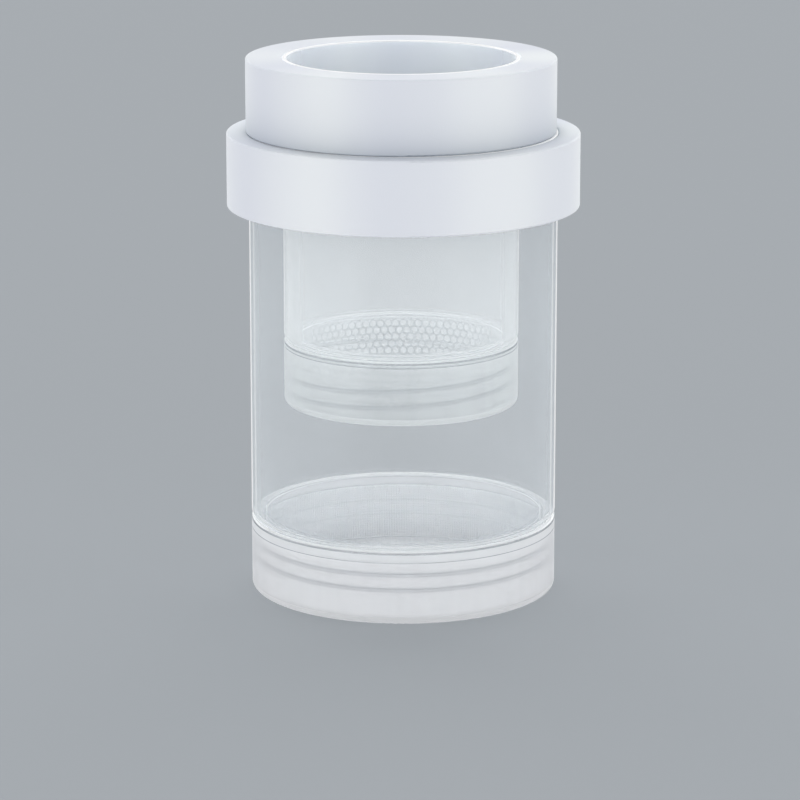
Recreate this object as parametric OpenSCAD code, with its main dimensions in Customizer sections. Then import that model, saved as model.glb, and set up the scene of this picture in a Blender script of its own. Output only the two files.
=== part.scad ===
// Two-layer floating breeding box, drawn standing on its outer cap.
// Each layer is a clear tube used mouth down: a foam float ring round its top
// and a ring cap over its neck that holds a net cup across the opening.
// Millimetres, +Z up, origin at the centre of the outer cap's underside.

/* [Outer layer] */
// Outside diameter of the outer tube and its cap
outer_d = 85; // [75:1:110]
// Straight height of the outer tube, from its shoulder to its rim
outer_body_h = 107.8; // [85:0.1:160]
// Height of the outer cap
outer_cap_h = 20.5; // [18:0.5:30]
// How far the outer net's edge stops below the cap's rim
outer_net_drop = 3; // [1:0.1:6]

/* [Inner layer] */
// Radial gap between the two tubes, which sets the inner tube's diameter
layer_gap = 9; // [6:0.5:15]
// Straight height of the inner tube, from its shoulder to its rim
inner_body_h = 78.1; // [50:0.1:82]
// Height of the inner cap
inner_cap_h = 17.9; // [16.5:0.1:22]
// How far the inner net's edge stops below the cap's rim
inner_net_drop = 1.5; // [1:0.1:4]
// Where the loose inner layer rests off centre, along X
inner_play_x = -0.6; // [-1.5:0.1:1.5]

/* [Float rings] */
// Height of both foam rings
ring_h = 20.4; // [12:0.1:28]
// Radial width of the outer foam ring
outer_ring_w = 6; // [4:0.5:15]
// How far the inner foam ring reaches past the outer tube's rim
inner_ring_lap = 0.1; // [0:0.1:4]
// Radial clearance between a foam ring and its tube
ring_fit = 0.05; // [0.02:0.01:0.1]
// Rounding of the foam rings' edges
ring_edge_r = 0.5; // [0.2:0.1:2]

/* [Tube walls] */
// Wall of both tubes' straight bodies
tube_wall = 1; // [0.8:0.1:1.8]
// Wall of both necks and of the shoulders above them
neck_wall = 1.1; // [0.8:0.1:1.8]
// Outside rounding of the shoulders
shoulder_r = 1.5; // [0.8:0.1:1.8]
// Rounding of the tubes' rims
rim_r = 0.3; // [0.1:0.05:0.35]

/* [Caps] */
// Wall of both caps
cap_wall = 1.2; // [1:0.1:2]
// Thickness of the caps' inward flanges
cap_floor = 1.6; // [1:0.1:3]
// Radial width of the caps' inward flanges, under the neck
flange_w = 6; // [5:0.1:9]
// Rounding of the caps' lower edges
cap_foot_r = 1.5; // [0.5:0.1:2]
// Rounding of the caps' rims
cap_rim_r = 0.8; // [0.2:0.1:0.9]
// Seam between a cap's rim and the tube's shoulder
cap_seam = 0.2; // [0.1:0.1:1]

/* [Beads and threads] */
// Radial height of the beads and threads on the necks
neck_ridge_h = 0.65; // [0.4:0.05:1]
// Radial height of the beads and threads inside the caps
cap_ridge_h = 0.45; // [0.3:0.05:0.8]
// Width of every bead and thread at its root
ridge_w = 0.7; // [0.6:0.1:1]
// How far the caps' beads and threads lie above those of the necks
ridge_step = 0.8; // [0.7:0.1:1.5]
// Height of the outer neck's lower snap bead above the cap's underside
bead_low = 9; // [5:0.1:10]
// Distance between the two snap beads
bead_pitch = 4.25; // [2:0.05:5]
// Number of starts of the inner neck's thread
thread_starts = 2; // [1:1:4]
// Rise of the inner thread in one turn
thread_lead = 8.8; // [4:0.2:10]
// Height above the cap's underside at which the inner thread begins
thread_low = 2.6; // [2.6:0.1:4]

/* [Nets] */
// Thickness of both nets
net_t = 0.3; // [0.2:0.1:0.6]
// Clearance either side of a net's skirt, to the neck and to the cap
net_gap = 0.15; // [0.1:0.05:0.4]
// Clearance under and over each net, and under the inner foam ring
seat_gap = 0.05; // [0.02:0.01:0.2]

/* [Hidden] */
$fn = 96;

// Outside diameter of the inner tube and its cap
inner_d = outer_d - 2 * (tube_wall + layer_gap);

// Heights in a layer, above the underside of its cap
net_z = cap_floor + seat_gap;
lip_z = net_z + net_t + seat_gap;

// Heights in the whole box
outer_rim_z = outer_cap_h + cap_seam + outer_body_h;
outer_ring_z = outer_rim_z - ring_h;
inner_ring_z = outer_rim_z + seat_gap;
inner_rim_z = inner_ring_z + ring_h;
inner_cap_z = inner_rim_z - inner_body_h - cap_seam - inner_cap_h;

// Radii at a neck, worked inwards from the cap's outside diameter
function cap_in_r(d) = d / 2 - cap_wall;
function net_out_r(d) = cap_in_r(d) - cap_ridge_h - net_gap;
function net_in_r(d) = net_out_r(d) - net_t;
function neck_r(d) = net_in_r(d) - net_gap - neck_ridge_h;
function neck_in_r(d) = neck_r(d) - neck_wall;
function window_r(d) = cap_in_r(d) - flange_w;

// Heights of the outer neck's two snap beads
bead_heights = [bead_low, bead_low + bead_pitch];

// Foam rings' outside radii
outer_ring_r = outer_d / 2 + ring_fit + outer_ring_w;
inner_ring_r = outer_d / 2 + inner_ring_lap;

// A ridge's crest is this share of its width at the wall
crest_share = 0.45;
// The root of a thread is sunk this far into the wall that carries it
root_sink = 0.25;
// A thread runs out over this many degrees at either end
runout = 24;
// Degrees between two sections of a thread, and degrees from end to end of one start
thread_step = 6;
thread_turn = 360;
// Share of its height left at a thread's very ends, which lie inside the wall
end_share = 0.1;
// Direction in which the first start of the thread begins
thread_begin = -182;
// How far a corner's cutter reaches past the corner
cut_over = 1;

tube_color = [0.86, 0.91, 0.94, 0.4];
cap_color = [0.87, 0.89, 0.91, 0.75];
net_color = [0.93, 0.94, 0.95];
foam_color = [0.95, 0.96, 0.98];

// Cutter that rounds a profile's convex corner at [x, y] to radius r.
// sx and sy are 1 or -1 and point from the corner into the profile.
module corner_cut(x, y, r, sx, sy) {
    side = r + cut_over;
    mid = [x + sx * r, y + sy * r];
    difference() {
        translate([min(mid[0], mid[0] - sx * side), min(mid[1], mid[1] - sy * side)])
            square(side);
        translate(mid) circle(r);
    }
}

// Profile of a ring between two radii and two heights with all its edges rounded
module ring_profile(r_in, r_out, z_low, z_high, edge) {
    difference() {
        translate([r_in, z_low]) square([r_out - r_in, z_high - z_low]);
        corner_cut(r_in, z_low, edge, 1, 1);
        corner_cut(r_in, z_high, edge, 1, -1);
        corner_cut(r_out, z_low, edge, -1, 1);
        corner_cut(r_out, z_high, edge, -1, -1);
    }
}

// Half the width of a ridge of height h at its crest, and at its sunk root
ridge_tip = ridge_w / 2 * crest_share;
function ridge_foot(h) = ridge_w / 2 + root_sink * (ridge_w / 2 - ridge_tip) / h;

// Profile of one bead whose wall lies at radius r. side is 1 outwards, -1 inwards.
module bead_profile(r, z, h, side) {
    root = r - side * root_sink;
    crest = r + side * h;
    tip = ridge_tip;
    foot = ridge_foot(h);
    low_first = [[root, z - foot], [crest, z - tip], [crest, z + tip], [root, z + foot]];
    polygon(side > 0 ? low_first : [for (i = [3:-1:0]) low_first[i]]);
}

// Height of a thread over its root as a share of its full height, a degrees along it
function thread_share(a) = max(end_share, min(1, a / runout, (thread_turn - a) / runout));

// One section of a thread, a degrees along it: root and crest, low and high
function thread_section(r, h, side, a) =
    let (
        mid = thread_lead * a / 360,
        root = r - side * root_sink,
        crest = root + side * (h + root_sink) * thread_share(a),
        tip = ridge_tip,
        foot = ridge_foot(h)
    )
    [
        for (p = [[root, mid - foot], [crest, mid - tip], [crest, mid + tip], [root, mid + foot]])
            [p[0] * cos(a), p[0] * sin(a), p[1]]
    ];

// One helical thread ridge, one turn long, that begins on +X at height 0
module thread_ridge(r, h, side) {
    steps = thread_turn / thread_step;
    sections = [for (i = [0:steps]) thread_section(r, h, side, i * thread_step)];
    points = [for (s = sections) for (p = s) p];
    walls = [
        for (i = [0:steps - 1]) for (k = [0:3])
            let (a = 4 * i + k, b = 4 * i + (k + 1) % 4)
            each [[a, b, b + 4], [a, b + 4, a + 4]]
    ];
    last = 4 * steps;
    ends = [[3, 2, 1], [3, 1, 0], [last, last + 1, last + 2], [last, last + 2, last + 3]];
    faces = side > 0 ? concat(walls, ends) : [for (f = concat(walls, ends)) [f[2], f[1], f[0]]];
    polyhedron(points, faces);
}

// All starts of a thread, the first of them beginning at thread_begin
module thread(r, h, side, z) {
    for (i = [0:thread_starts - 1])
        translate([0, 0, z]) rotate(thread_begin + i * 360 / thread_starts)
            thread_ridge(r, h, side);
}

// Profile of a tube from its lip, up its neck, round its shoulder to its rim.
// seam_z is the height of the shoulder's underside.
module tube_profile(d, seam_z, rim_z) {
    r = d / 2;
    difference() {
        union() {
            translate([neck_in_r(d), lip_z]) square([neck_wall, seam_z - lip_z + neck_wall]);
            translate([neck_in_r(d), seam_z]) square([r - neck_in_r(d), neck_wall]);
            translate([r - tube_wall, seam_z]) square([tube_wall, rim_z - seam_z]);
            // fillet inside the shoulder
            difference() {
                translate([r - tube_wall - shoulder_r / 2, seam_z + neck_wall])
                    square(shoulder_r / 2);
                translate([r - tube_wall - shoulder_r / 2, seam_z + neck_wall + shoulder_r / 2])
                    circle(shoulder_r / 2);
            }
        }
        corner_cut(r, seam_z, shoulder_r, -1, 1);
        corner_cut(r, rim_z, rim_r, -1, -1);
        corner_cut(r - tube_wall, rim_z, rim_r, 1, -1);
        corner_cut(neck_in_r(d), lip_z, rim_r, 1, 1);
        corner_cut(neck_r(d), lip_z, rim_r, -1, 1);
    }
}

// Profile of a cap, open at the top, with a flange round its window
module cap_profile(d, h) {
    r = d / 2;
    difference() {
        union() {
            translate([window_r(d), 0]) square([r - window_r(d), cap_floor]);
            translate([cap_in_r(d), 0]) square([cap_wall, h]);
        }
        corner_cut(r, 0, cap_foot_r, -1, 1);
        corner_cut(r, h, cap_rim_r, -1, -1);
        corner_cut(window_r(d), 0, cap_floor / 3, 1, 1);
        corner_cut(window_r(d), cap_floor, cap_floor / 3, 1, -1);
    }
}

// A net pressed into a cup: a flat floor over the window, and a skirt up to skirt_z
module net_cup(d, skirt_z) {
    r = net_out_r(d);
    rotate_extrude() difference() {
        union() {
            translate([0, net_z]) square([r, net_t]);
            translate([net_in_r(d), net_z]) square([net_t, skirt_z - net_z]);
        }
        corner_cut(r, net_z, net_t, -1, 1);
    }
}

// Places the loose inner layer inside the outer one
module in_inner_layer() {
    translate([inner_play_x, 0, inner_cap_z]) children();
}

// Ring cap pushed over the outer neck, with its snap beads inside
module outer_cap() {
    color(cap_color) rotate_extrude() {
        cap_profile(outer_d, outer_cap_h);
        for (z = bead_heights) bead_profile(cap_in_r(outer_d), z + ridge_step, cap_ridge_h, -1);
    }
}

// Fine gauze cup that holds the fry
module outer_net() {
    color(net_color) net_cup(outer_d, outer_cap_h - outer_net_drop);
}

// Clear outer tube with snap beads round its neck
module outer_tube() {
    color(tube_color) rotate_extrude() {
        tube_profile(outer_d, outer_cap_h + cap_seam, outer_rim_z);
        for (z = bead_heights) bead_profile(neck_r(outer_d), z, neck_ridge_h, 1);
    }
}

// Foam ring that floats the outer layer, flush with the outer tube's rim
module outer_float_ring() {
    color(foam_color) rotate_extrude()
        ring_profile(outer_d / 2 + ring_fit, outer_ring_r, outer_ring_z, outer_rim_z, ring_edge_r);
}

// Foam ring that floats the inner layer and rests on the outer tube's rim
module inner_float_ring() {
    color(foam_color) translate([inner_play_x, 0, 0]) rotate_extrude()
        ring_profile(inner_d / 2 + ring_fit, inner_ring_r, inner_ring_z, inner_rim_z, ring_edge_r);
}

// Clear inner tube with a screw thread round its neck
module inner_tube() {
    color(tube_color) in_inner_layer() {
        rotate_extrude()
            tube_profile(inner_d, inner_cap_h + cap_seam, inner_rim_z - inner_cap_z);
        thread(neck_r(inner_d), neck_ridge_h, 1, thread_low);
    }
}

// Coarse hexagonal net cup that lets the fry fall through
module inner_net() {
    color(net_color) in_inner_layer() net_cup(inner_d, inner_cap_h - inner_net_drop);
}

// Ring cap screwed on the inner neck
module inner_cap() {
    color(cap_color) in_inner_layer() {
        rotate_extrude() cap_profile(inner_d, inner_cap_h);
        thread(cap_in_r(inner_d), cap_ridge_h, -1, thread_low + ridge_step);
    }
}

outer_cap();
outer_net();
outer_tube();
outer_float_ring();
inner_float_ring();
inner_tube();
inner_net();
inner_cap();
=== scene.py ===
# %% [markdown]
# # A floating breeding box
# The real object is two clear plastic tubes, one inside the other. Each hangs mouth down from a white foam
# float ring, and each is closed below by a milky ring cap that holds a net across the opening. The solids
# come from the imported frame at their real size, so this file never moves them. It gives every solid its
# finish, knits the two nets, and sets up the floor, the lamps and the camera.

# %% Load the frame
import collections
import math

import bpy
import numpy as np
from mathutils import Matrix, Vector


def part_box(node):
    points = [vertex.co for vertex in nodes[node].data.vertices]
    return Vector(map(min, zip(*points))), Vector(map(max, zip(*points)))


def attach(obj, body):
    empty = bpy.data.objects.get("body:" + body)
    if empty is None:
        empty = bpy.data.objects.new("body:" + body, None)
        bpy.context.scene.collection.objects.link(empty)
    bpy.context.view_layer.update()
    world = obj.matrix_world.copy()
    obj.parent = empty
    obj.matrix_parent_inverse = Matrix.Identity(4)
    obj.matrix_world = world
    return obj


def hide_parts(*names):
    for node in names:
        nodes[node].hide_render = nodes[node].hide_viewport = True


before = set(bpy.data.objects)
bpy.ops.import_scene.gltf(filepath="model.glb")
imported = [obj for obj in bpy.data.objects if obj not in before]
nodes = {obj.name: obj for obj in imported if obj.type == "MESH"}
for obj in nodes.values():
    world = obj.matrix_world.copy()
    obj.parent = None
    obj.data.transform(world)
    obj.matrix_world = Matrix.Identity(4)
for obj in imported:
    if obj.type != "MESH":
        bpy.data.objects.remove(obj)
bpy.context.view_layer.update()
MM = 0.001

# %% [markdown]
# ## The camera
# The picture was taken with a long lens from a metre away, a little above the box. A camera like that keeps
# the tubes' sides nearly parallel, and the ellipses of the rims get flatter the higher they are. A shift
# lens could frame it as well, but a plain camera whose axis passes the middle of the box keeps every other
# view centred.

# %% Camera
CAMERA_BACK = 1.0004
CAMERA_UP = 0.2950
CAMERA_DOWN_DEG = 13.625
CAMERA_PAN_DEG = 0.053
LENS_MM = 166.04
SENSOR_MM = 36.0

camera_data = bpy.data.cameras.new("camera")
camera_data.lens = LENS_MM
camera_data.sensor_width = SENSOR_MM
camera = bpy.data.objects.new("camera", camera_data)
camera.location = (0, -CAMERA_BACK, CAMERA_UP)
camera.rotation_euler = (math.radians(90 - CAMERA_DOWN_DEG), 0, math.radians(CAMERA_PAN_DEG))
bpy.context.scene.collection.objects.link(camera)
bpy.context.scene.camera = camera

# %% [markdown]
# ## Shader maths as Python
# A material is easier to read as sums than as a web of nodes. `Wire` holds one output socket, and the usual
# operators on it add the Math nodes. `Board` is the node tree of a material or of the world: its `add` makes
# any other node from its type, its settings and the values or wires of its sockets.

# %% Shader helpers
class Wire:
    """One output socket. Arithmetic on wires and numbers adds Math nodes to their board."""

    def __init__(self, board, socket):
        self.board = board
        self.socket = socket

    def math(self, operation, *values):
        return self.board.add("ShaderNodeMath", {"operation": operation}, dict(enumerate(values)))

    def __add__(self, other):
        return self.math("ADD", self, other)

    def __sub__(self, other):
        return self.math("SUBTRACT", self, other)

    def __rsub__(self, other):
        return self.math("SUBTRACT", other, self)

    def __mul__(self, other):
        return self.math("MULTIPLY", self, other)

    def __truediv__(self, other):
        return self.math("DIVIDE", self, other)

    def __rtruediv__(self, other):
        return self.math("DIVIDE", other, self)

    def __neg__(self):
        return self * -1.0

    __radd__ = __add__
    __rmul__ = __mul__

    def at_least(self, other):
        return self.math("MAXIMUM", self, other)

    def at_most(self, other):
        return self.math("MINIMUM", self, other)

    def exp(self):
        return self.math("EXPONENT", self)

    def cos(self):
        return self.math("COSINE", self)

    def steps(self, start, end):
        """0 before start and 1 after end, smooth between them."""
        settings = {"interpolation_type": "SMOOTHSTEP"}
        return self.board.add("ShaderNodeMapRange", settings, {"Value": self, 1: start, 2: end})

    def band(self, start, end, edge):
        """1 between start and end and 0 outside, with a smooth edge within."""
        return self.steps(start, start + edge) * (1.0 - self.steps(end - edge, end))


class Board:
    """The node tree of a material or of the world."""

    def __init__(self, owner):
        owner.use_nodes = True
        self.owner = owner
        self.tree = owner.node_tree
        self.tree.nodes.clear()

    def add(self, kind, settings=None, sockets=None, out=0):
        """A node of this kind. Settings are set first, then each socket gets a wire or a value."""
        node = self.tree.nodes.new(kind)
        for name, value in (settings or {}).items():
            setattr(node, name, value)
        for name, value in (sockets or {}).items():
            if isinstance(value, Wire):
                self.tree.links.new(value.socket, node.inputs[name])
            else:
                node.inputs[name].default_value = value
        return Wire(self, node.outputs[out]) if node.outputs else node

    def place(self):
        """The point's place in the frame, in metres."""
        return self.add("ShaderNodeTexCoord", out="Object")

    def split(self, vector):
        """The three parts of a vector."""
        node = self.add("ShaderNodeSeparateXYZ", {}, {0: vector}).socket.node
        return [Wire(self, socket) for socket in node.outputs]

    def polar(self, x, y):
        """The distance from the upright axis, the angle, and the angle's point on a circle of radius 1."""
        radius = x.math("SQRT", x * x + y * y)
        around = self.add("ShaderNodeCombineXYZ", {}, {0: x / radius, 1: y / radius, 2: 0.0})
        return radius, x.math("ARCTAN2", y, x), around

    def mix(self, share, low, high):
        """A colour between low and high."""
        return self.add("ShaderNodeMix", {"data_type": "RGBA"}, {0: share, 6: low, 7: high}, out=2)

    def blend(self, share, low, high):
        """A shader between low and high."""
        return self.add("ShaderNodeMixShader", {}, {0: share, 1: low, 2: high})

    def noise(self, vector, scale, detail):
        return self.add("ShaderNodeTexNoise", {}, {"Vector": vector, "Scale": scale, "Detail": detail})

    def bump(self, height, distance):
        return self.add("ShaderNodeBump", {}, {"Height": height, "Distance": distance})

    def finish(self, shader):
        """The material, with this shader on its surface."""
        self.add("ShaderNodeOutputMaterial", {}, {"Surface": shader})
        return self.owner


def rgb(red, green, blue):
    """A colour written as 0 to 255, as a picture shows it, turned into scene light."""
    picture = np.array([red, green, blue]) / 255
    low = picture / 12.92
    high = ((picture + 0.055) / 1.055) ** 2.4
    return (*np.where(picture <= 0.04045, low, high).tolist(), 1.0)


# %% [markdown]
# ## Foam
# The float rings are cut from closed-cell foam: cool white, nearly smooth, with six soft upright bands where
# the colour drifts between lavender and green. The bands are a cosine of the angle round the ring, with some
# noise that changes round the ring as well to make them uneven. The corner where the rings meet is painted
# greyer, a painted shade: the grey fades away from it as e to the power of minus the distance. The skin's
# tiny cells are a bump, because they are far smaller than any mesh detail worth its triangles.

# %% Foam material
FOAM_LAVENDER = rgb(213, 217, 226)
FOAM_GREEN = rgb(227, 231, 234)
FOAM_ROUGHNESS = 0.68
FOAM_SPECULAR = 0.15
FOAM_BANDS = 6
FOAM_DRIFT = 1.6
DRIFT_DETAIL = 1.0
DRIFT_SHARE = 0.35
# Most of a noise lies between these values, which `steps` stretches to 0 and 1
NOISE_MIDDLE = (0.3, 0.7)
# Painted shade: the grey mixed into the foam in the corner where the rings meet, where less light reaches
CORNER_SHADE_GREY = rgb(150, 160, 170)
CORNER_SHADE_SHARE = 0.45
SHADE_FADE_UP = 5.0 * MM
SHADE_FADE_OUT = 1.4 * MM
CELLS_PER_M = 2600.0
CELL_DETAIL = 2.0
CELL_PITS = 0.02 * MM


def foam_material(name, distance):
    """distance(radius, z) is how far from the corner a place is, over the distance the painted corner shade
    fades in.
    """
    board = Board(bpy.data.materials.new(name))
    place = board.place()
    x, y, z = board.split(place)
    radius, angle, around = board.polar(x, y)
    bands = 0.5 + 0.5 * (angle * FOAM_BANDS).cos()
    drift = board.noise(around, FOAM_DRIFT, DRIFT_DETAIL).steps(*NOISE_MIDDLE)
    colour = board.mix((1 - DRIFT_SHARE) * bands + DRIFT_SHARE * drift, FOAM_LAVENDER, FOAM_GREEN)
    # Painted shade, strongest in the corner and fading with the distance from it
    grey = CORNER_SHADE_SHARE * (-distance(radius, z).at_least(0.0)).exp()
    sockets = {
        "Base Color": board.mix(grey, colour, CORNER_SHADE_GREY),
        "Roughness": FOAM_ROUGHNESS,
        "Normal": board.bump(board.noise(place, CELLS_PER_M, CELL_DETAIL), CELL_PITS),
        "Specular IOR Level": FOAM_SPECULAR,
    }
    return board.finish(board.add("ShaderNodeBsdfPrincipled", {}, sockets))


low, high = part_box("inner_float_ring")
foot, side = low.z, (high.x - low.x) / 2
# The upper ring's painted shade fades upwards from its foot, the lower ring's outwards from the upper ring's
# side
upper_foam = foam_material("upper_foam", lambda radius, z: (z - foot) / SHADE_FADE_UP)
lower_foam = foam_material("lower_foam", lambda radius, z: (radius - side) / SHADE_FADE_OUT)
nodes["inner_float_ring"].material_slots[0].material = upper_foam
nodes["outer_float_ring"].material_slots[0].material = lower_foam

# %% [markdown]
# ## Clear and milky plastic
# Neither plastic is water clear. A thin haze scatters light, and it looks whiter the longer the line of
# sight runs through it: faint where a wall is seen square on and white where it is seen edge on. The share
# of light that a haze keeps is one minus e to the power of minus its depth, and the depth grows as one over
# the cosine of the angle of view. Haze is lit from both sides, so it is half diffuse and half translucent.
# Right at the edge of a round wall the light runs along inside the plastic and comes out as a thin bright
# line. Layer Weight's Facing gives the angle for haze, line and gloss alike, while its Fresnel would turn
# the inside of a closed wall into a mirror. Lamp light goes nearly straight through a thin clear wall, so
# the rays that look for a lamp see only a pale tint. The same recipe serves every plastic here with numbers
# of its own.
#
# A mark is a stretch of the surface with haze of its own: where its share is 1, its haze is added and its
# colour taken. The ridges that hold a cap on its neck get pairs of soft grey lines, a painted shade for the
# dark lines that the ridges make. The seam between cap and tube gets a painted highlight over a painted
# shade line. The cut edge round a tube's mouth is painted solid white, a painted highlight as the bright
# line is, and nothing shows through it.

# %% Plastic material
HAZE_ROUGHNESS = 0.3
HAZE_SPECULAR = 0.2
LEAST_COSINE = 0.05
# White of the bright line, and of the painted highlights on rims and mouths
HIGHLIGHT_WHITE = rgb(249, 250, 251)
HIGHLIGHT_ROUGHNESS = 0.5
LAMP_TINT = rgb(249, 250, 250)
# The bright line starts at the first of these values of Facing and is full at the second
BRIGHT_LINE = (0.86, 0.9)
# The skin's share where it is seen square on, and what it gains by where it is seen edge on
HEAD_ON_GLOSS = 0.035
EDGE_ON_GLOSS = 0.12
# Streaks run up the wall, and the haze goes from the first share of its depth to the sum of both
STREAKS = 2.4
STREAK_DETAIL = 3.0
STREAK_LEAST = 0.85
STREAK_GAIN = 0.3

Plastic = collections.namedtuple(
    "Plastic", "haze colour line gloss_roughness ridge_haze", defaults=[0.0]
)
Mark = collections.namedtuple("Mark", "share haze colour")


def scattering(board, tint):
    """Haze as a surface: half of the light comes back, and half goes through."""
    sockets = {"Base Color": tint, "Roughness": HAZE_ROUGHNESS, "Specular IOR Level": HAZE_SPECULAR}
    lit = board.add("ShaderNodeBsdfPrincipled", {}, sockets)
    lit_behind = board.add("ShaderNodeBsdfTranslucent", {}, {"Color": tint})
    return board.blend(0.5, lit, lit_behind)


def past_lamps(board, seen, tint):
    """The material that shows the shader seen, while the rays that look for a lamp see only a tint."""
    for_lamps = board.add("ShaderNodeBsdfTransparent", {}, {"Color": tint})
    lamp_ray = board.add("ShaderNodeLightPath", out="Is Shadow Ray")
    return board.finish(board.blend(lamp_ray, seen, for_lamps))


def hazy_plastic(name, plastic, axis_x, marks, painted_white=None):
    """Haze over a see-through base, under a glossy skin whose share grows with Schlick's fifth power.

    The last argument gives the share of a place that is solid white: a painted highlight.
    """
    board = Board(bpy.data.materials.new(name))
    x, y, z = board.split(board.place())
    radius, angle, around = board.polar(x - axis_x, y)
    turns = angle / (2 * math.pi)
    streaks = board.noise(around, STREAKS, STREAK_DETAIL).steps(*NOISE_MIDDLE)
    depth = plastic.haze * (STREAK_LEAST + STREAK_GAIN * streaks)
    tint = plastic.colour
    for mark in marks:
        share = mark.share(radius, turns, z)
        depth = depth + share * mark.haze
        tint = board.mix(share, tint, mark.colour)
    facing = board.add("ShaderNodeLayerWeight", {}, {"Blend": 0.5}, out="Facing")
    depth = depth / (1.0 - facing).at_least(LEAST_COSINE)
    see_through = board.add("ShaderNodeBsdfTransparent")
    hazy = board.blend(1.0 - (-depth).exp(), see_through, scattering(board, tint))
    white = plastic.line * facing.steps(*BRIGHT_LINE)
    if painted_white is not None:
        white = white.at_least(painted_white(radius, turns, z))
    sockets = {"Base Color": HIGHLIGHT_WHITE, "Roughness": HIGHLIGHT_ROUGHNESS}
    edged = board.blend(white, hazy, board.add("ShaderNodeBsdfPrincipled", {}, sockets))
    square = facing * facing
    mirror = HEAD_ON_GLOSS + EDGE_ON_GLOSS * (square * square * facing)
    skin = board.add("ShaderNodeBsdfAnisotropic", {}, {"Roughness": plastic.gloss_roughness})
    return past_lamps(board, board.blend(mirror, edged, skin), LAMP_TINT)


# %% [markdown]
# Two kinds of mark are enough. `hoop` covers everything between two heights. The other draws the ridges'
# lines, a painted shade: a push-on cap has level ridges, and a screw cap has ones that climb by the thread's
# lead in a turn. The height less the climb is the same all along a ridge, so the distance to the nearest
# ridge is a zigzag of that value over the pitch, which the Ping-Pong operation gives.

# %% Marks
HOOP_EDGE = 0.1 * MM
LINE_W = 0.45 * MM
LINE_EDGE = 0.25 * MM
# The neck's ridges lie this far below the cap's, so each line is a pair
LINE_STEP = 0.65 * MM
# Where the ridges' lines begin and end, the height of one at the angle 0, their pitch and climb in a turn
Ridges = collections.namedtuple("Ridges", "low high first pitch climb")


def hoop(low, high):
    """The share of a mark that goes round the axis between two heights."""
    return lambda radius, turns, z: z.band(low, high, HOOP_EDGE)


def ridge_shade_lines(radii, ridges):
    """Pairs of painted shade lines between two radii: one at the ridges' first height, and each pitch away.
    """
    heights = (ridges.low - LINE_W, ridges.high + LINE_STEP + LINE_W)
    line = ((LINE_W - LINE_EDGE) / 2, (LINE_W + LINE_EDGE) / 2)

    def share(radius, turns, z):
        level = (z - ridges.climb * turns - ridges.first) / ridges.pitch
        lines = 0.0
        for step in (0.0, LINE_STEP):
            away = z.math("PINGPONG", level - step / ridges.pitch, 0.5) * ridges.pitch
            lines = 1.0 - away.steps(*line) + lines
        return lines.at_most(1.0) * radius.band(*radii, HOOP_EDGE) * z.band(*heights, HOOP_EDGE)

    return share


# %% [markdown]
# Each set of tube and cap has its own axis and its own radii, so it gets a tube plastic and a cap plastic of
# its own. The radii and heights all follow from the boxes of the cap, its net and its tube. A cap's rounded
# foot is milkier than its wall, because the line of sight runs along the plastic there.

# %% Plastics of one set
CAP_WALL = 1.2 * MM
RIDGE_ROOM = 0.7 * MM
# Heights of the thin lines: painted highlights on the tube's lower edge, its mouth and the cap's rim, the
# seam's painted shade, the net's edge
TUBE_EDGE = 0.4 * MM
MOUTH_LINE = 0.5 * MM
RIM_LINE = 0.4 * MM
SEAM_LINE = 0.6 * MM
NET_LINE = 0.35 * MM
FOOT = 2.0 * MM
# How far a mark at the top or the foot of a solid reaches past it, to take in its end
BEYOND = 1.0 * MM
# Painted shade: the grey of the ridges' lines on the cap's inner wall
RIDGE_SHADE_GREY = rgb(165, 170, 175)
# Grey of two dark lines: under the cap's rim it is painted shade, in the gap between cap and tube; at the
# net's top edge a dark line
SEAM_GREY = rgb(140, 145, 150)
SEAM_HAZE = 0.14
FOOT_HAZE = 0.3
# Haze of the painted highlights on the cap's rim and on the tube just above it
HIGHLIGHT_HAZE = 0.6


def finish_set(layer, clear, milky, ridges):
    """Gives a layer's tube and cap their plastics. The heights of the ridges are over the cap's foot."""
    tube, cap = layer + "_tube", layer + "_cap"
    low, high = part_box(cap)
    axis_x = (low.x + high.x) / 2
    inside = (high.x - low.x) / 2 - CAP_WALL
    rim = high.z - RIM_LINE
    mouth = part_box(tube)[1].z
    net_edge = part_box(layer + "_net")[1].z
    radii = (inside - RIDGE_ROOM, inside + RIDGE_ROOM)
    ridges = ridges._replace(
        low=low.z + ridges.low, high=low.z + ridges.high, first=low.z + ridges.first
    )
    # A painted highlight on the tube just above the cap, and a solid white painted highlight round its mouth
    tube_marks = [Mark(hoop(high.z, high.z + TUBE_EDGE), HIGHLIGHT_HAZE, HIGHLIGHT_WHITE)]
    mouth_highlight = hoop(mouth - MOUTH_LINE, mouth + BEYOND)
    cap_marks = [
        # The cap's rim gets a painted highlight
        Mark(hoop(rim, high.z + BEYOND), HIGHLIGHT_HAZE, HIGHLIGHT_WHITE),
        # A painted shade line under the rim, and a dark line at the net's top edge
        Mark(hoop(rim - SEAM_LINE, rim), SEAM_HAZE, SEAM_GREY),
        Mark(hoop(net_edge - NET_LINE, net_edge), SEAM_HAZE, SEAM_GREY),
        Mark(hoop(low.z - BEYOND, low.z + FOOT), FOOT_HAZE, milky.colour),
        # The ridges' lines are painted shade
        Mark(ridge_shade_lines(radii, ridges), milky.ridge_haze, RIDGE_SHADE_GREY),
    ]
    tube_plastic = hazy_plastic(tube + "_clear", clear, axis_x, tube_marks, mouth_highlight)
    nodes[tube].material_slots[0].material = tube_plastic
    nodes[cap].material_slots[0].material = hazy_plastic(cap + "_milky", milky, axis_x, cap_marks)


# %% [markdown]
# The outer cap snaps over two level beads. The inner cap's thread has two starts, so its pitch is half its
# lead, and a start that begins at -182 degrees has climbed just over half the lead at 0 degrees.

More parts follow.
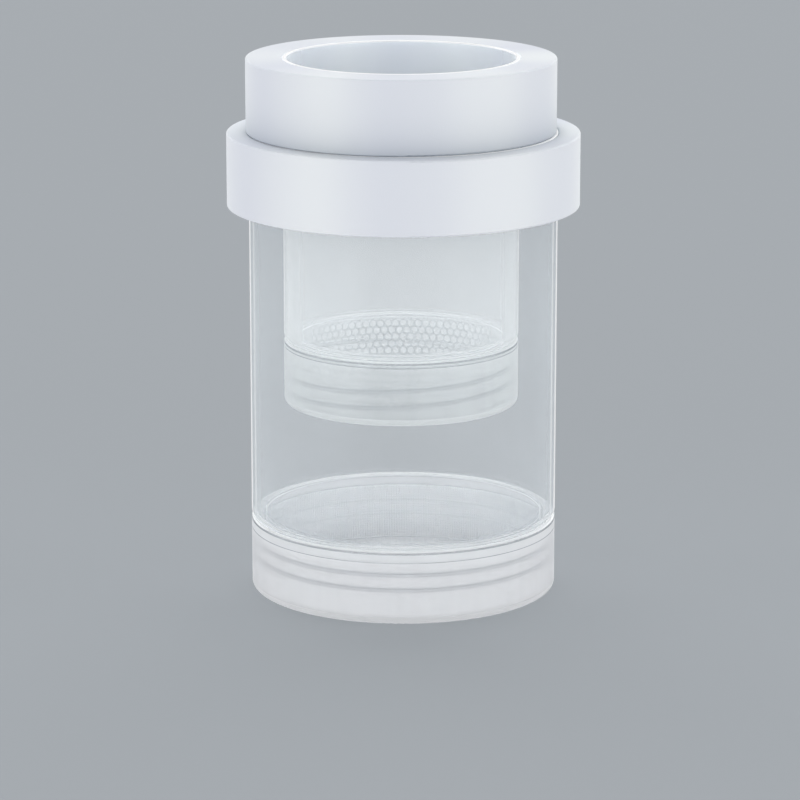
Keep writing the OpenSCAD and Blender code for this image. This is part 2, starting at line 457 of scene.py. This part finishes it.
# %% Dress both sets
BEAD_LOW = 9.0 * MM
BEAD_PITCH = 4.25 * MM
THREAD_LOW = 2.6 * MM
THREAD_LEAD = 8.8 * MM
THREAD_BEGINS = -182 / 360

beads = Ridges(low=BEAD_LOW, high=BEAD_LOW + BEAD_PITCH, first=BEAD_LOW, pitch=BEAD_PITCH, climb=0.0)
clear = Plastic(haze=0.1, colour=rgb(207, 212, 216), line=1.0, gloss_roughness=0.1)
milky = Plastic(
    haze=0.5, colour=rgb(227, 228, 230), line=0.3, gloss_roughness=0.18, ridge_haze=0.38
)
finish_set("outer", clear, milky, beads)

thread = Ridges(
    low=THREAD_LOW,
    high=THREAD_LOW + THREAD_LEAD,
    first=THREAD_LOW - THREAD_BEGINS * THREAD_LEAD,
    pitch=THREAD_LEAD / 2,
    climb=THREAD_LEAD,
)
clear = Plastic(haze=0.15, colour=rgb(246, 248, 249), line=1.0, gloss_roughness=0.1)
milky = Plastic(
    haze=0.5, colour=rgb(238, 240, 241), line=0.6, gloss_roughness=0.18, ridge_haze=0.9
)
finish_set("inner", clear, milky, thread)
print("six solids dressed")

# %% [markdown]
# ## A mesh from arrays
# Both nets are surfaces worked out as arrays. `new_piece` drops the points that no face uses, puts the rest
# into a mesh and lets the piece ride on its body.

# %% Mesh helper
def new_piece(name, points, faces, material, body, slot):
    """A piece of four-cornered faces, with the body it rides on. slot, the slot of its finish, is not used.
    """
    used, faces = np.unique(faces, return_inverse=True)
    faces = faces.reshape(-1, 4)
    mesh = bpy.data.meshes.new(name)
    mesh.from_pydata(points.reshape(-1, 3)[used], [], faces.tolist())
    mesh.validate()
    mesh.shade_smooth()
    mesh.materials.append(material)
    piece = bpy.data.objects.new(name, mesh)
    bpy.context.scene.collection.objects.link(piece)
    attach(piece, body)
    print(name, len(mesh.vertices), "points,", len(mesh.polygons), "faces")
    return piece


# %% [markdown]
# ## Net cups
# Each net is a disc of cloth pressed into a cup by its cap: a flat floor over the window and a skirt that
# stands between the neck and the cap. The frame holds each as a plain sheet, whose box gives the cup's
# radius, floor and height.

# %% Net sizes
NET_THICK = 0.3 * MM


def cup_of(node):
    """Centre x, radius at mid-thickness, floor's mid-height and top of a net cup, from its box."""
    low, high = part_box(node)
    return {
        "x": (low.x + high.x) / 2,
        "radius": (high.x - low.x) / 2 - NET_THICK / 2,
        "floor": low.z + NET_THICK / 2,
        "top": high.z,
    }


outer_cup = cup_of("outer_net")
inner_cup = cup_of("inner_net")
print("outer cup", outer_cup)
print("inner cup", inner_cup)

# %% [markdown]
# ## The coarse net
# The inner net is a honeycomb of soft strands, about 2 mm from cell to cell. Every cell is the same little
# hexagonal ring: from the ridge of its strands, which it shares with its neighbours, round the strand to the
# hole and back underneath. Copies of it fill the floor and, bent round, the skirt.

# %% Honeycomb
CELL_PITCH = 2.15 * MM
STRAND_W = 0.5 * MM
STRAND_T = 0.26 * MM
# Steps in and up, as shares of half the strand's width and thickness, from the upper ridge to the lower
STRAND_ROUND = np.array([[0, 1], [0.55, 0.8], [1, 0], [0.55, -0.8], [0, -1]])
# A side's neighbour, as steps along the row and in rows, anticlockwise from the right
NEIGHBOURS = np.array([[1, 0], [0, 1], [-1, 1], [-1, 0], [0, -1], [1, -1]])
ROW_RISE = math.sqrt(3) / 2


def honeycomb(cells, taken, pitch, bound=None):
    """Points as (across, along, up) and faces of a flat honeycomb of rounded strands.

    cells has two whole numbers for each cell: q, its step along a row, and r, its row. The cell sits at
    pitch * (q + r / 2) and pitch * r * sqrt(3) / 2. taken(q, r) says which places hold a cell, and a side
    with none beyond it gets an upright wall. bound is a radius that the strands are pulled in to.
    """
    q, r = cells.T
    centre = np.stack([pitch * (q + r / 2), pitch * r * ROW_RISE], axis=1)
    angle = np.radians(60 * np.arange(6) - 30)
    corner = np.stack([np.cos(angle), np.sin(angle)], axis=1)
    inset = STRAND_ROUND[:, 0] * STRAND_W / 2
    reach = pitch / math.sqrt(3) - inset / ROW_RISE
    flat = centre[:, None, None, :] + reach[None, :, None, None] * corner[None, None, :, :]
    if bound is not None:
        far = np.linalg.norm(flat, axis=3, keepdims=True)
        flat = flat * np.minimum(1.0, (bound - inset)[None, :, None, None] / far)
    up = np.broadcast_to(STRAND_ROUND[None, :, None, 1] * STRAND_T / 2, flat.shape[:3])
    points = np.concatenate([flat, up[..., None]], axis=3)
    index = np.arange(up.size).reshape(up.shape)
    ahead = np.roll(index, -1, axis=2)
    strips = np.stack([index[:, :-1], ahead[:, :-1], ahead[:, 1:], index[:, 1:]], axis=3)
    beside = cells[:, None, :] + NEIGHBOURS
    lonely = ~taken(beside[..., 0], beside[..., 1])
    walls = np.stack([index[:, -1], ahead[:, -1], ahead[:, 0], index[:, 0]], axis=2)
    faces = np.concatenate([strips.reshape(-1, 4), walls[lonely]])
    return points.reshape(-1, 3), faces


def floor_cells(radius, pitch):
    """The cells whose centres lie inside a circle, and the test for one. No step is over most there."""
    most = int(radius / pitch / ROW_RISE) + 1
    q, r = np.meshgrid(np.arange(-most, most + 1), np.arange(-most, most + 1))

    def taken(a, b):
        return np.hypot(a + b / 2, b * ROW_RISE) * pitch < radius

    return np.stack([q[taken(q, r)], r[taken(q, r)]], axis=1), taken


def skirt_cells(around, rows):
    """The cells of a closed band of rows, and the test for one."""
    i, r = np.meshgrid(np.arange(around), np.arange(rows))

    def taken(a, b):
        return (b >= 0) & (b < rows)

    return np.stack([(i - r // 2).ravel(), r.ravel()], axis=1), taken


# %% [markdown]
# A net's floor meets its skirt in a tight fold. `turned` makes that fold, and anything else that is round
# about the axis: a closed outline of radius and height is carried round a circle.

# %% Turned band
AROUND = 192


def turned(outline, x):
    """Points and faces of a closed outline of (radius, height) turned about the upright line through x."""
    angle = np.linspace(0, 2 * np.pi, AROUND, endpoint=False)
    radius, height = outline.T
    points = np.stack(
        [
            x + np.outer(np.cos(angle), radius),
            np.outer(np.sin(angle), radius),
            np.broadcast_to(height, (AROUND, len(height))),
        ],
        axis=2,
    )
    index = np.arange(points[..., 0].size).reshape(points.shape[:2])
    ahead, beyond = np.roll(index, -1, axis=0), np.roll(index, -1, axis=1)
    corner = np.roll(ahead, -1, axis=1)
    faces = np.stack([index, ahead, corner, beyond], axis=2).reshape(-1, 4)
    return points.reshape(-1, 3), faces


def round_outline(radius, height, wide, tall, count=10):
    """An oval outline about a place, anticlockwise."""
    angle = np.linspace(0, 2 * np.pi, count, endpoint=False)
    return np.stack([radius + wide / 2 * np.cos(angle), height + tall / 2 * np.sin(angle)], axis=1)


def joined(*parts):
    """Several sets of points and faces as one."""
    starts = np.cumsum([0] + [len(points) for points, _ in parts[:-1]])
    faces = np.concatenate([faces + start for (_, faces), start in zip(parts, starts)])
    return np.concatenate([points for points, _ in parts]), faces


# Points closer than this are one, and a stretch of thread shorter than this is none
SAME_POINT = 0.002 * MM
# Moves the grid that points are rounded to, so that none of them lies between two of its steps
OFF_GRID = 0.123


def merged(points, faces):
    """The same surface, with points that lie together made one."""
    key = np.round(points / SAME_POINT + OFF_GRID).astype(np.int64)
    _, first, same = np.unique(key, axis=0, return_index=True, return_inverse=True)
    return points[first], same.reshape(-1)[faces]


# %% [markdown]
# The coarse net is the flat honeycomb of its floor, a second honeycomb rolled up as its skirt, and the fold
# between them. A whole number of cells has to go round the skirt, so their pitch gives way a little there.

# %% Knit the coarse net
FOLD_W = 0.5 * MM
FLOOR_EDGE_SHARE = 0.1
# A row of hexagons lies this many times their reach above the last, and the end rows add a reach each
ROW_STEP = 1.5


def coarse_net(cup):
    """The floor's honeycomb lies flat, and the skirt's is rolled up: its rows run round, up is outwards."""
    radius, floor, top = cup["radius"], cup["floor"], cup["top"]
    cells, taken = floor_cells(radius - FLOOR_EDGE_SHARE * CELL_PITCH, CELL_PITCH)
    flat, floor_faces = honeycomb(cells, taken, CELL_PITCH, bound=radius)
    floor_points = flat + [cup["x"], 0, floor]
    around = round(2 * math.pi * radius / CELL_PITCH)
    pitch = 2 * math.pi * radius / around
    reach = pitch / math.sqrt(3)
    rows = round(((top - floor) / reach - 2) / ROW_STEP) + 1
    cells, taken = skirt_cells(around, rows)
    flat, skirt_faces = honeycomb(cells, taken, pitch)
    share = (flat[:, 1] - flat[:, 1].min()) / np.ptp(flat[:, 1])
    angle, out = flat[:, 0] / radius, radius + flat[:, 2]
    skirt_points = np.stack(
        [cup["x"] + out * np.cos(angle), out * np.sin(angle), floor + share * (top - floor)], axis=1
    )
    fold = turned(round_outline(radius, floor, FOLD_W, NET_THICK), cup["x"])
    knitted = joined((floor_points, floor_faces), (skirt_points, skirt_faces))
    return joined(merged(*knitted), fold)


# %% [markdown]
# ## The fine net
# The outer net is a plain-woven gauze with a thread every 0.7 mm. On the floor two sets of flat threads
# cross and pass over and under each other. On the skirt the upright threads run inside level rings. A
# thread is a ribbon: four corners carried along its middle line. All the threads of a set are one array,
# and a mask leaves out the stretches that the cup's edge cuts to nothing.

# %% Gauze
THREAD_PITCH = 0.72 * MM
THREAD_W = 0.48 * MM
UPRIGHT_W = 0.4 * MM
HOOP_W = 0.62 * MM
THREAD_T = 0.1 * MM
RING_POINTS = 120
# A ribbon's corners as shares of half its width and half its thickness, anticlockwise seen from its end
RIBBON = np.array([[-1, -1], [1, -1], [1, 1], [-1, 1]])


def ribbons(middle, side, up, live=None, closed=False):
    """Points and faces of flat threads along middle[thread, point]. side and up are half its width and
    half its thickness as vectors. live[thread, stretch] leaves out stretches, and open ends are capped."""
    points = (
        middle[:, :, None, :]
        + RIBBON[None, None, :, 0, None] * side[:, :, None, :]
        + RIBBON[None, None, :, 1, None] * up[:, :, None, :]
    )
    index = np.arange(points[..., 0].size).reshape(points.shape[:3])
    if closed:
        index = np.concatenate([index, index[:, :1]], axis=1)
    here, there = index[:, :-1], index[:, 1:]
    if live is None:
        live = np.ones(here.shape[:2], bool)
    walls = np.stack([here, there, np.roll(there, -1, axis=2), np.roll(here, -1, axis=2)], axis=3)
    faces = [walls[live].reshape(-1, 4)]
    if not closed:
        before = np.pad(live, ((0, 0), (1, 0)))[:, :-1]
        after = np.pad(live, ((0, 0), (0, 1)))[:, 1:]
        faces += [here[live & ~before], there[live & ~after][:, ::-1]]
    return points.reshape(-1, 3), np.concatenate(faces)


def woven_floor(cup):
    """Two sets of threads over a disc. A thread's height alternates at each crossing it makes."""
    radius = cup["radius"]
    half = int(radius / THREAD_PITCH)
    crossing = THREAD_PITCH * np.arange(-half - 1, half + 2)
    offset = crossing[1:-1]
    reach = np.sqrt(radius**2 - offset**2)[:, None]
    along = np.clip(crossing[None, :], -reach, reach)
    live = np.diff(along, axis=1) > SAME_POINT
    across = np.broadcast_to(offset[:, None], along.shape)
    turn = np.indices(along.shape).sum(axis=0) % 2 * 2 - 1
    level = cup["floor"] + THREAD_T / 2 * turn
    other = cup["floor"] - THREAD_T / 2 * turn
    up = np.broadcast_to([0, 0, THREAD_T / 2], (*along.shape, 3))
    warp = np.stack([cup["x"] + along, across, level], axis=2)
    weft = np.stack([cup["x"] + across, along, other], axis=2)
    return joined(
        ribbons(warp, np.broadcast_to([0, -THREAD_W / 2, 0], up.shape), up, live),
        ribbons(weft, np.broadcast_to([THREAD_W / 2, 0, 0], up.shape), up, live),
    )


def woven_skirt(cup):
    """Upright threads inside level rings, both spaced as the floor's threads are."""
    radius, floor, top = cup["radius"], cup["floor"], cup["top"]
    uprights = round(2 * math.pi * radius / THREAD_PITCH)
    angle = np.linspace(0, 2 * np.pi, uprights, endpoint=False)[:, None]
    height = np.array([[floor, top]])
    angle, height = np.broadcast_arrays(angle, height)
    outward = np.stack([np.cos(angle), np.sin(angle), 0 * angle], axis=2)
    onward = np.stack([-np.sin(angle), np.cos(angle), 0 * angle], axis=2)
    axis = np.array([cup["x"], 0, 0])
    middle = axis + (radius - THREAD_T / 2) * outward + height[..., None] * [0, 0, 1]
    stand = ribbons(middle, onward * UPRIGHT_W / 2, outward * THREAD_T / 2)
    level = np.arange(floor + THREAD_PITCH, top, THREAD_PITCH)[:, None]
    angle = np.linspace(0, 2 * np.pi, RING_POINTS, endpoint=False)[None, :]
    level, angle = np.broadcast_arrays(level, angle)
    outward = np.stack([np.cos(angle), np.sin(angle), 0 * angle], axis=2)
    middle = axis + (radius + THREAD_T / 2) * outward + level[..., None] * [0, 0, 1]
    upward = np.broadcast_to([0, 0, HOOP_W / 2], middle.shape)
    rings = ribbons(middle, -upward, outward * THREAD_T / 2, closed=True)
    return joined(stand, rings)


# %% [markdown]
# ## Nylon
# Both nets are white nylon, and the coarse one's grey is painted shade: its strands stand dark against the
# lit milky wall behind them. Monofilament is a little shiny and lets some light through. Its colour drifts
# slightly from strand to strand. The real threads of the fine net are finer than these, so half of the lamp
# light goes past them.

# %% Nylon material
LAMP_PASS = (0.5, 0.5, 0.5, 1.0)
THREAD_ROUGHNESS = 0.45
THREAD_SPECULAR = 0.4
PATCH_DETAIL = 2.0
# The two colours of a thread meet between these values of the noise
PATCH_EDGE = (0.35, 0.65)


def nylon(name, colour, shade, patches_per_m, through):
    """Thread of two colours in small patches. through is the share of light that it lets through."""
    board = Board(bpy.data.materials.new(name))
    patches = board.noise(board.place(), patches_per_m, PATCH_DETAIL).steps(*PATCH_EDGE)
    white = board.mix(patches, colour, shade)
    sockets = {
        "Base Color": white,
        "Roughness": THREAD_ROUGHNESS,
        "Specular IOR Level": THREAD_SPECULAR,
    }
    lit = board.add("ShaderNodeBsdfPrincipled", {}, sockets)
    lit_behind = board.add("ShaderNodeBsdfTranslucent", {}, {"Color": white})
    return past_lamps(board, board.blend(through, lit, lit_behind), LAMP_PASS)


# The coarse net's grey is painted shade, for white strands seen against the lit milky wall
shaded_coarse_nylon = nylon(
    "shaded_coarse_nylon", rgb(168, 172, 176), rgb(184, 188, 191), patches_per_m=900, through=0.4
)
fine_nylon = nylon(
    "fine_nylon", rgb(247, 248, 250), rgb(252, 252, 253), patches_per_m=700, through=0.25
)

# %% [markdown]
# Each net takes the place of the plain sheet that stands for it in the frame, and moves with that sheet's
# body. It is cloth, and below, the size of the disc it was cut as is worked out: its floor and its skirt
# laid flat.
# The strands of the coarse net cover only half of its disc, and that half is its area.

# %% Make both nets
inner_net = new_piece("hex_net", *coarse_net(inner_cup), shaded_coarse_nylon, "inner_net", "coarse_net")
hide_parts("inner_net")
woven = joined(woven_floor(outer_cup), woven_skirt(outer_cup))
outer_net = new_piece("gauze", *woven, fine_nylon, "outer_net", "fine_net")
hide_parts("outer_net")

COARSE_COVER = 0.5


def flat_disc(cup):
    """Diameter and area of the disc that the cup was pressed from."""
    across = 2 * (cup["radius"] + cup["top"] - cup["floor"])
    return across, math.pi / 4 * across**2


across, area = flat_disc(inner_cup)
area = area * COARSE_COVER
across, area = flat_disc(outer_cup)

# %% [markdown]
# ## Floor, lamps and backdrop
# A plain pale floor runs out to the horizon, and the sky beyond has its colour, so no edge shows. The lamps
# are broad suns, because the light of a sun is as strong far off as near by, and its width makes the shadows
# soft. One stands behind the box and puts the front of the ledge between the rings in shade. Six stand low
# all round it, so that every side is lit alike. The floor is a light table, such as small clear things are
# pictured on: it lights the box from below with white light, while the camera and the gloss see it pale
# grey. Part of that grey is the floor's own light, which makes the box's shadow on it pale.

# %% Floor and sky
WHITE = (1.0, 1.0, 1.0, 1.0)
BACKDROP = rgb(163, 168, 173)
FLOOR_RADIUS = 8.0
FLOOR_SIDES = 96
FLOOR_ROUGHNESS = 0.9
FLOOR_SPECULAR = 0.1
FLOOR_GLOW = 0.6
TABLE_LIGHT = 0.9
SKY_LIGHT = 0.45


def light_table():
    """Pale grey for the camera and the gloss, a white lamp for every other ray."""
    board = Board(bpy.data.materials.new("pale_floor"))
    sockets = {
        "Base Color": BACKDROP,
        "Roughness": FLOOR_ROUGHNESS,
        "Specular IOR Level": FLOOR_SPECULAR,
    }
    lit = board.add("ShaderNodeBsdfPrincipled", {}, sockets)
    own = board.add("ShaderNodeEmission", {}, {"Color": BACKDROP, "Strength": 1.0})
    table = board.add("ShaderNodeEmission", {}, {"Color": WHITE, "Strength": TABLE_LIGHT})
    camera_ray = board.add("ShaderNodeLightPath", out="Is Camera Ray")
    glossy_ray = board.add("ShaderNodeLightPath", out="Is Glossy Ray")
    seen = (camera_ray + glossy_ray).at_most(1.0)
    return board.finish(board.blend(seen, table, board.blend(FLOOR_GLOW, lit, own)))


angle = np.linspace(0, 2 * np.pi, FLOOR_SIDES, endpoint=False)
rim = np.stack([FLOOR_RADIUS * np.cos(angle), FLOOR_RADIUS * np.sin(angle), 0 * angle], axis=1)
floor_mesh = bpy.data.meshes.new("floor")
floor_mesh.from_pydata(rim, [], [list(range(FLOOR_SIDES))])
floor_mesh.materials.append(light_table())
floor = bpy.data.objects.new("floor", floor_mesh)
bpy.context.scene.collection.objects.link(floor)

sky = Board(bpy.data.worlds.new("studio"))
bpy.context.scene.world = sky.owner
white_sky = sky.add("ShaderNodeBackground", {}, {"Color": WHITE, "Strength": SKY_LIGHT})
grey_sky = sky.add("ShaderNodeBackground", {}, {"Color": BACKDROP, "Strength": 1.0})
camera_ray = sky.add("ShaderNodeLightPath", out="Is Camera Ray")
sky.add("ShaderNodeOutputWorld", {}, {"Surface": sky.blend(camera_ray, white_sky, grey_sky)})


# %% Lamps
def broad_sun(name, azimuth, elevation, width, strength):
    """A sun seen from the box at azimuth, from the front towards the right, and at elevation, in degrees.

    Its strength is how bright a white surface that faces it becomes.
    """
    data = bpy.data.lights.new(name, "SUN")
    data.angle = math.radians(width)
    data.energy = math.pi * strength
    lamp = bpy.data.objects.new(name, data)
    lamp.rotation_euler = (math.radians(90 - elevation), 0, math.radians(azimuth))
    bpy.context.scene.collection.objects.link(lamp)


broad_sun("behind", azimuth=180, elevation=60, width=50, strength=0.4)
for azimuth in range(30, 360, 60):
    broad_sun(f"around_{azimuth}", azimuth, elevation=14, width=36, strength=0.2)

# %% [markdown]
# ## Colours and light paths
# The Standard view shows a colour as it was written. A line of sight through both tubes, both caps and the
# nets crosses dozens of surfaces, and each one needs a step of its own. Light also goes to and fro between
# the white walls many times, so it gets more diffuse bounces than usual.

# %% Colours and light paths
scene = bpy.context.scene
scene.view_settings.view_transform = "Standard"
scene.cycles.transparent_max_bounces = 48
scene.cycles.diffuse_bounces = 8
